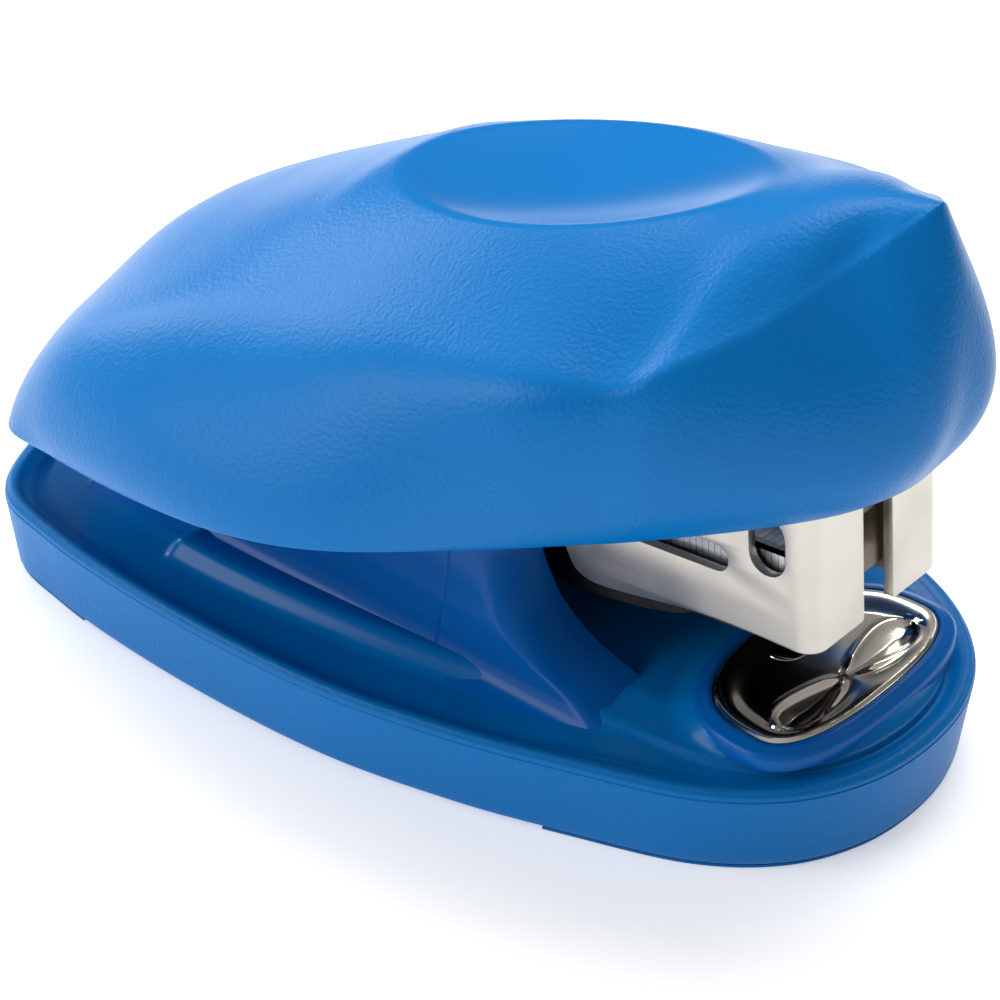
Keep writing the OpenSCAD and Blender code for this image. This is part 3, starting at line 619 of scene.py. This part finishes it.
def cheek_loop(z_front, front, outer_y, inset=0.0):
    """One level of a cheek; the level rises towards the tail as the top edge does."""
    share = (z_front - 5.2) / 10.4
    run = np.linspace(0, 1, 46) ** 0.8
    inner_x = REAR + inset + (front - inset - REAR) * run
    inner_y = 8.5 - 0.5 * smooth_step(0, 8, inner_x) + inset
    turn = np.radians(np.arange(6, 90, 6))
    corner_x = front - inset - CORNER * (1 - np.cos(turn) ** 0.9)
    corner_y = inner_y[-1] + (outer_y - inset - inner_y[-1]) * np.sin(turn) ** 0.9
    outer_x = REAR + inset + (front - inset - CORNER - REAR) * run
    outer_x = np.sort(np.append(outer_x, [5.02, 5.16, 5.23, 5.3, 5.37, 5.44, 5.58]))[::-1]
    outer_line = outer_y - inset - 0.07 * np.exp(-((outer_x - 5.3) / 0.08) ** 2)
    x = np.concatenate([inner_x, corner_x, outer_x])
    y = np.concatenate([inner_y, corner_y, outer_line])
    fall = np.interp(x, [10, front + 0.1], [1, 10.4 / (cheek_top(10) - 5.2)])
    z = 5.2 + share * (cheek_top(np.minimum(x, 10)) - 5.2) * fall
    return np.column_stack([x, y, z])


# %% Cheek pieces
loops = [cheek_loop(*level) for level in levels]
z, front, outer_y = levels[-1]
loops += [cheek_loop(z, front, outer_y, inset) + (0, 0, lift)
          for inset, lift in ((0.12, 0.1), (0.35, 0.16))]
loops = np.array(loops)
faces = capped_stack(loops)
flat = loops.reshape(-1, 3)
for name, hand in (("right_cheek", -1), ("left_cheek", 1)):
    make_piece(name, flat * (1, hand, 1), faces, shaded_gloss_plastic, "base", ["base_shell"],
               sharp=45)

# %% [markdown]
# ## Anvil
# The anvil sits in a moulded ring whose thin edge shines all round it. The plate itself is pressed
# from one sheet: a rounded rim, a shallow dish, and two long hollows with a ridge between them,
# which turn the legs of a staple inwards. It is a stack of outlines drawn in towards the middle.


# %% Anvil ring
def anvil_line(grow, z, points=144):
    """The anvil's outline in plan, made larger by grow."""
    a = np.linspace(0, 2 * math.pi, points, endpoint=False)
    reach = np.where(np.cos(a) > 0, 3.6, 6.9) + grow
    x = 30.2 + np.sign(np.cos(a)) * reach * np.abs(np.cos(a)) ** 0.8
    y = np.sign(np.sin(a)) * (9.8 + grow) * np.abs(np.sin(a)) ** 0.8
    return np.column_stack([x, y, np.full(points, z)])


ring_profile = [(0.06, 7.6), (0.06, 8.86), (0.12, 8.99), (0.26, 9.06), (0.44, 9.04), (0.62, 8.95),
                (0.85, 8.83), (1.1, 8.76), (1.3, 8.5), (1.3, 7.6)]
loops = np.array([anvil_line(*step) for step in ring_profile + ring_profile[:1]])
faces = sheet_faces(len(loops), loops.shape[1], wrap=True)
make_piece("anvil_seat_ring", loops.reshape(-1, 3), faces, shaded_gloss_plastic, "base",
           ["base_shell"])


# %% Anvil plate
def anvil_height(x, y):
    """Top of the anvil: a shallow dish with two ridged hollows."""
    g = -beyond_anvil(x, y)
    top = 9.2 - 0.42 * smooth_step(0.5, 2.6, g)
    rear = smooth_step(-1, -5.5, x - 30.4)
    top -= 0.18 * rear * smooth_step(0.6, 3, g)
    t = np.clip(np.abs(y) / 7.7, 0, 1)
    wide = 1.95 * np.maximum(t, 1e-4) ** 0.75 * np.sqrt(np.maximum(1 - t ** 4, 0)) * 1.15 + 0.02
    across = (x - 30.7) / wide
    depth = 1 - np.sqrt(across ** 2 + 0.004)
    pocket = 0.6 * np.minimum(wide / 1.7, 1) * 0.5 * (depth + np.sqrt(depth ** 2 + 0.012))
    lip = 0.2 * np.exp(-((np.abs(x - 30.7) - wide) / 0.35) ** 2)
    lip *= (np.abs(y) < 8.2) * smooth_step(0.3, 2.0, np.abs(y))
    return top + lip - pocket


plan = anvil_line(0, 0, 300)
centre = np.array([30.7, 0.0, 0.0])
stack = [plan + (0, 0, 8.3), plan + (0, 0, 8.95)]
shares = np.concatenate([[0.999, 0.992, 0.98], np.linspace(0.965, 0.0, 96)])
for share in shares:
    line = centre + (plan - centre) * share
    x, y = line[:, 0], line[:, 1]
    line[:, 2] = anvil_height(x, y) - 0.22 * (1 - smooth_step(0.0, 0.3, -beyond_anvil(x, y)))
    stack.append(line)
stack = np.array([np.tile((30.7, 0, 8.3), (len(plan), 1))] + stack)
faces = sheet_faces(len(stack), stack.shape[1], wrap=True)
make_piece("anvil", stack.reshape(-1, 3), faces, chrome, "base", ["anvil_plate"], sharp=28)

# %% [markdown]
# ## Magazine
# The magazine is one folded sheet, 0.8 mm thick. Each half starts as a flat blank with a slot and a
# window, its edges slightly rounded by the press. The blank is a filled 2D curve, which Blender
# turns into a plate with holes. It is then cut across the bend and wrapped round it.


# %% Flat blanks
def rounded(corners, steps=5):
    """A closed outline whose corners, given as x, y and radius, are rounded."""
    line = []
    for i, (x, y, radius) in enumerate(corners):
        here = np.array([x, y])
        ends = [np.array(corners[i - 1][:2]), np.array(corners[(i + 1) % len(corners)][:2])]
        if radius <= 0:
            line.append(here)
            continue
        ways = [(e - here) / np.linalg.norm(e - here) for e in ends]
        cut = [min(radius, np.linalg.norm(e - here) * 0.48) for e in ends]
        a, b = here + ways[0] * cut[0], here + ways[1] * cut[1]
        line += [a * (1 - t) ** 2 + here * 2 * t * (1 - t) + b * t ** 2 for t in np.linspace(0, 1, steps)]
    return np.array(line)


def long_hole(x0, z0, x1, z1, radius, steps=12):
    """Outline of a hole with round ends between two centres."""
    heading = math.atan2(z1 - z0, x1 - x0)
    ends = [(x1, z1, heading - math.pi / 2), (x0, z0, heading + math.pi / 2)]
    return np.array([(x + radius * math.cos(start + a), z + radius * math.sin(start + a))
                     for x, z, start in ends for a in np.linspace(0, math.pi, steps)])


def flat_plate(outlines, thickness, bevel=0.09):
    """A bmesh of a flat plate in mm with rounded edges, centred on Z = 0."""
    curve = bpy.data.curves.new("blank", "CURVE")
    curve.dimensions = "2D"
    curve.fill_mode = "BOTH"
    curve.extrude = thickness / 2 - bevel
    curve.bevel_depth = bevel
    curve.bevel_resolution = 1
    curve.offset = -bevel
    for line in outlines:
        spline = curve.splines.new("POLY")
        spline.points.add(len(line) - 1)
        flat_points = np.column_stack([line, np.zeros(len(line)), np.ones(len(line))])
        spline.points.foreach_set("co", flat_points.ravel())
        spline.use_cyclic_u = True
    holder = bpy.data.objects.new("blank", curve)
    bpy.context.scene.collection.objects.link(holder)
    mesh = bpy.data.meshes.new_from_object(holder.evaluated_get(bpy.context.evaluated_depsgraph_get()))
    bm = bmesh.new()
    bm.from_mesh(mesh)
    bmesh.ops.remove_doubles(bm, verts=bm.verts, dist=0.002)
    bpy.data.objects.remove(holder)
    bpy.data.meshes.remove(mesh)
    return bm


# %% Folded magazine
SHEET, BEND, HALF = 0.8, 1.5, 7.35
BEND_START, MIDDLE_BEND = 57.6 - BEND, BEND - SHEET / 2
BEND_LENGTH = MIDDLE_BEND * math.pi / 2
BLANK_END = BEND_START + BEND_LENGTH + (HALF - BEND - 1.65)
blank = rounded([(-3.4, -3.4, 1.5), (-3.4, 3, 2), (-1, 5.5, 1), (BLANK_END, 5.5, 0.3),
                 (BLANK_END, -4.9, 0.35), (BLANK_END - 4.4, -4.9, 0), (56, -4.85, 1), (50.7, -4.6, 4),
                 (46.9, -4.8, 4), (42.6, -5.4, 4), (38.9, -5.75, 2), (37.4, -5.2, 1.2),
                 (36.8, -4, 1), (36.5, -3.1, 0.5), (34, -2.7, 1), (14, -3.7, 2), (2, -3.7, 1)])
holes = [long_hole(37, 0.2, 49.8, 0.2, 1), long_hole(54, 1.7, 54, 3.3, 1.45),
         long_hole(0, 0, 0.001, 0, 1.3), long_hole(10.2, -2.4, 10.201, -2.4, 0.8)]


def fold(points):
    """Wraps a flat blank round the front bend: first along the side, then across the front."""
    s, z, w = points.T
    a = np.clip((s - BEND_START) / MIDDLE_BEND, 0, math.pi / 2)
    across = np.maximum(s - BEND_START - BEND_LENGTH, 0)
    radius = MIDDLE_BEND + w
    x = np.minimum(s, BEND_START) + radius * np.sin(a)
    y = HALF - BEND + radius * np.cos(a) - across
    return np.column_stack([x, y, z])


for name, hand in (("magazine_right_side", -1), ("magazine_left_side", 1)):
    bm = flat_plate([blank] + holes, SHEET)
    for cut in np.linspace(BEND_START, BEND_START + BEND_LENGTH, 9):
        bmesh.ops.bisect_plane(bm, geom=bm.verts[:] + bm.edges[:] + bm.faces[:], plane_co=(cut, 0, 0),
                               plane_no=(1, 0, 0), dist=0.001)
    folded = in_magazine(fold(np.array([v.co[:] for v in bm.verts])) * (1, hand, 1))
    bm.verts.index_update()
    faces = [[v.index for v in f.verts] for f in bm.faces]
    make_piece(name, folded, faces, nickel, "magazine", ["magazine_channel"],
               sharp=32, merge=0.002)
    bm.free()

# %% Strap behind the rail
bm = flat_plate([rounded([(2, -7.3, 0.3), (2, 7.3, 0.3), (6, 7.3, 0.3), (6, -7.3, 0.3)])], SHEET)
strap = in_magazine(np.array([v.co[:] for v in bm.verts]) + (0, 0, -3.3))
bm.verts.index_update()
faces = [[v.index for v in f.verts] for f in bm.faces]
make_piece("magazine_strap", strap, faces, nickel, "magazine", ["magazine_channel"],
           sharp=32)
bm.free()

# %% [markdown]
# ## Repeated parts
# Staples, coils and rivet heads repeat, so Geometry Nodes make them. Each tree has named inputs for
# its sizes and ends in Realize Instances and Set Material. The evaluated result becomes a plain mesh.


# %% Geometry Nodes helpers
def new_tree(name, inputs):
    """A geometry tree with a geometry input, named number inputs and a material input."""
    tree = bpy.data.node_groups.new(name, "GeometryNodeTree")
    tree.interface.new_socket("Geometry", in_out="OUTPUT", socket_type="NodeSocketGeometry")
    tree.interface.new_socket("Geometry", in_out="INPUT", socket_type="NodeSocketGeometry")
    for label, value in inputs.items():
        kind = "NodeSocketInt" if isinstance(value, int) else "NodeSocketFloat"
        tree.interface.new_socket(label, in_out="INPUT", socket_type=kind).default_value = value
    tree.interface.new_socket("Finish", in_out="INPUT", socket_type="NodeSocketMaterial")
    return tree, add(tree, "NodeGroupInput").outputs


def end_tree(tree, geometry, finish):
    """Realizes the instances, sets the material and closes the tree."""
    real = add(tree, "GeometryNodeRealizeInstances", {"Geometry": geometry})
    named = add(tree, "GeometryNodeSetMaterial", {"Geometry": real.outputs[0], "Material": finish})
    add(tree, "NodeGroupOutput", {"Geometry": named.outputs[0]})


def grow(tree, name, values, finish, places=()):
    """Runs a tree on points at the given places, in mm, and returns the plain mesh in metres."""
    seed = bpy.data.meshes.new(name)
    seed.from_pydata([Vector(p) * MM for p in places] or [(0, 0, 0)], [], [])
    holder = bpy.data.objects.new(name, seed)
    bpy.context.scene.collection.objects.link(holder)
    modifier = holder.modifiers.new(tree.name, "NODES")
    modifier.node_group = tree
    for item in tree.interface.items_tree:
        if item.in_out == "INPUT" and item.name in values:
            modifier[item.identifier] = values[item.name]
        if item.in_out == "INPUT" and item.name == "Finish":
            modifier[item.identifier] = finish
    bpy.context.view_layer.update()
    mesh = bpy.data.meshes.new_from_object(holder.evaluated_get(bpy.context.evaluated_depsgraph_get()))
    bpy.data.objects.remove(holder)
    mesh.name = name
    return mesh


def frame_turn(pitch):
    """Matrix from the magazine's or the cap's own frame to the resting place, in metres."""
    return moved_by(*HINGE) @ Matrix.Rotation(-pitch, 4, "Y")


def moved_by(x, y, z):
    """Matrix that moves a mesh by millimetres."""
    return Matrix.Translation(Vector((x, y, z)) * MM)


def maths(tree, operation, a, b=0.5):
    """Output of one math node."""
    return add(tree, "ShaderNodeMath", {0: a, 1: b}, operation=operation).outputs[0]


def vector(tree, x=0.0, y=0.0, z=0.0):
    """Output of a node that joins three numbers."""
    return add(tree, "ShaderNodeCombineXYZ", {"X": x, "Y": y, "Z": z}).outputs[0]


print("Geometry Nodes helpers ready")

# %% Staple strip
staple_tree, sizes = new_tree("staple_strip", {"Count": 50, "Pitch": 0.52 * MM, "Width": 12.7 * MM,
                                               "Leg": 6 * MM, "Wire": 0.48 * MM})


wire_size, leg, width = sizes["Wire"], sizes["Leg"], sizes["Width"]
crown = add(staple_tree, "GeometryNodeMeshCube", {"Size": vector(staple_tree, wire_size, width, wire_size)})
arm = add(staple_tree, "GeometryNodeMeshCube", {"Size": vector(staple_tree, wire_size, wire_size, leg)})
staple = add(staple_tree, "GeometryNodeJoinGeometry", {"Geometry": crown.outputs["Mesh"]})
for hand in (-0.5, 0.5):
    inset = maths(staple_tree, "MULTIPLY", maths(staple_tree, "SUBTRACT", width, wire_size), hand)
    drop = maths(staple_tree, "MULTIPLY", maths(staple_tree, "SUBTRACT", wire_size, leg))
    moved = add(staple_tree, "GeometryNodeTransform", {
        "Geometry": arm.outputs["Mesh"], "Translation": vector(staple_tree, 0.0, inset, drop)})
    staple_tree.links.new(moved.outputs[0], staple.inputs["Geometry"])
row = add(staple_tree, "GeometryNodeMeshLine", {"Count": sizes["Count"],
                                                "Offset": vector(staple_tree, sizes["Pitch"])})
strip = add(staple_tree, "GeometryNodeInstanceOnPoints", {"Points": row.outputs[0],
                                                          "Instance": staple.outputs[0]})
end_tree(staple_tree, strip.outputs[0], sizes["Finish"])
mesh = grow(staple_tree, "staples", {"Count": 50}, staple_wire)
mesh.transform(frame_turn(PITCH) @ moved_by(29.46, 0, 1.65))
finish_piece("staples", mesh, staple_wire, "magazine", ["staple_strip"])

# %% Springs
coil_tree, sizes = new_tree("coil_spring", {"Turns": 10.0, "Radius": 1.75 * MM, "Length": 14 * MM,
                                            "Wire": 0.3 * MM, "Steps": 32})
spiral = add(coil_tree, "GeometryNodeCurveSpiral", {
    "Resolution": sizes["Steps"], "Rotations": sizes["Turns"], "Start Radius": sizes["Radius"],
    "End Radius": sizes["Radius"], "Height": sizes["Length"]})
section = add(coil_tree, "GeometryNodeCurvePrimitiveCircle", {"Resolution": 10, "Radius": sizes["Wire"]})
wound = add(coil_tree, "GeometryNodeCurveToMesh", {
    "Curve": spiral.outputs[0], "Profile Curve": section.outputs[0], "Fill Caps": True})
end_tree(coil_tree, wound.outputs[0], sizes["Finish"])
along_rod = frame_turn(PITCH) @ moved_by(8.4, 0, -2) @ Matrix.Rotation(math.pi / 2, 4, "Y")
mesh = grow(coil_tree, "pusher_coil", {"Length": 14.2 * MM}, bright_steel)
mesh.transform(along_rod)
finish_piece("pusher_coil", mesh, bright_steel, "magazine", ["pusher_spring"])
RETURN_WIRE = 0.35
mesh = grow(coil_tree, "return_coil", {"Turns": 6.0, "Radius": 2.2 * MM, "Length": 6 * MM,
                                       "Wire": RETURN_WIRE * MM}, bright_steel)
mesh.transform(moved_by(HINGE[0], -3, HINGE[2]) @ Matrix.Rotation(-math.pi / 2, 4, "X"))
bm = bmesh.new()
bm.from_mesh(mesh)
for start, end in (((-22.8, -3, 14.5), (-14, -3, 17.9)), ((-22.8, 3, 14.5), (-13, 3, 22.7))):
    a, b = Vector(start) * MM, Vector(end) * MM
    place = Matrix.Translation((a + b) / 2) @ (b - a).to_track_quat("Z", "Y").to_matrix().to_4x4()
    bmesh.ops.create_cone(bm, cap_ends=True, segments=10, radius1=RETURN_WIRE * MM,
                          radius2=RETURN_WIRE * MM, depth=(b - a).length, matrix=place)
bm.to_mesh(mesh)
bm.free()
finish_piece("return_coil", mesh, bright_steel, "magazine", ["cap_spring"])

# %% Rivet heads
head_tree, sizes = new_tree("rivet_heads", {"Radius": 1.3 * MM, "Rise": 0.3 * MM})
ball = add(head_tree, "GeometryNodeMeshUVSphere", {"Segments": 32, "Rings": 12, "Radius": 1.0})
head = add(head_tree, "GeometryNodeTransform", {
    "Geometry": ball.outputs["Mesh"],
    "Scale": vector(head_tree, sizes["Radius"], sizes["Rise"], sizes["Radius"])})
heads = add(head_tree, "GeometryNodeInstanceOnPoints", {"Points": sizes["Geometry"],
                                                        "Instance": head.outputs[0]})
end_tree(head_tree, heads.outputs[0], sizes["Finish"])
places = in_magazine(np.array([(10.2, -7.35, -2.4), (10.2, 7.35, -2.4)]))
mesh = grow(head_tree, "rail_rivet_heads", {}, bright_steel, places)
finish_piece("rail_rivet_heads", mesh, bright_steel, "magazine")
mesh = grow(head_tree, "anvil_rivet_head", {"Radius": 1.7 * MM, "Rise": 0.28 * MM}, chrome)
mesh.transform(moved_by(25.6, 0, 8.64) @ Matrix.Rotation(math.pi / 2, 4, "X"))
finish_piece("anvil_rivet_head", mesh, chrome, "base", ["anvil_rivet"])

# %% [markdown]
# ## Feet
# Two soft pads lie under the base, one at the nose and one at the tail. Each follows the outline,
# and its tread reaches out under the lower edge of the skirt.

# %% Feet
for name, side_of, limit, node in (("nose_foot", 1, 19, "front_foot"), ("tail_foot", -1, 22, "rear_foot")):
    kept = outline[:, 0] * side_of > limit
    loops = []
    for inset, z in ((2.6, 1.15), (2.6, 0.4), (0.9, 0.38), (0.76, 0.3), (0.76, 0.1), (0.9, 0.01)):
        half = ring(inset, z)[kept][::side_of]
        loops.append(np.vstack([half[::-1], half[1:] * (1, -1, 1)]))
    loops = np.array(loops)
    make_piece(name, loops.reshape(-1, 3), capped_stack(loops), foot_plastic, "base", [node],
               sharp=50)

# %% [markdown]
# ## Finishes of the plain parts
# The other CAD parts already have the right shape, so they only take a finish.

# %% Finishes of the CAD parts
PLAIN_FINISHES = {
    base_plastic: ["base_cover"],
    # The cap posts take the polished blue, darkened with painted shade.
    shaded_gloss_plastic: ["cap_posts"],
    bright_steel: ["cover_screws", "hinge_pin", "pin_washers", "lift_spring", "rail_rivets",
                   "guide_rod", "carrier_screws", "blade_rivets", "driver_carrier"],
    # These parts take the dark steel whose colour is painted shade.
    shaded_dark_steel: ["staple_rail", "rod_bracket", "staple_pusher", "driver_blade"],
}
for finish, nodes in PLAIN_FINISHES.items():
    for node in nodes:
        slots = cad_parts[node].data.materials
        slots.clear()
        slots.append(finish)
print("plain parts:", sum(len(nodes) for nodes in PLAIN_FINISHES.values()))
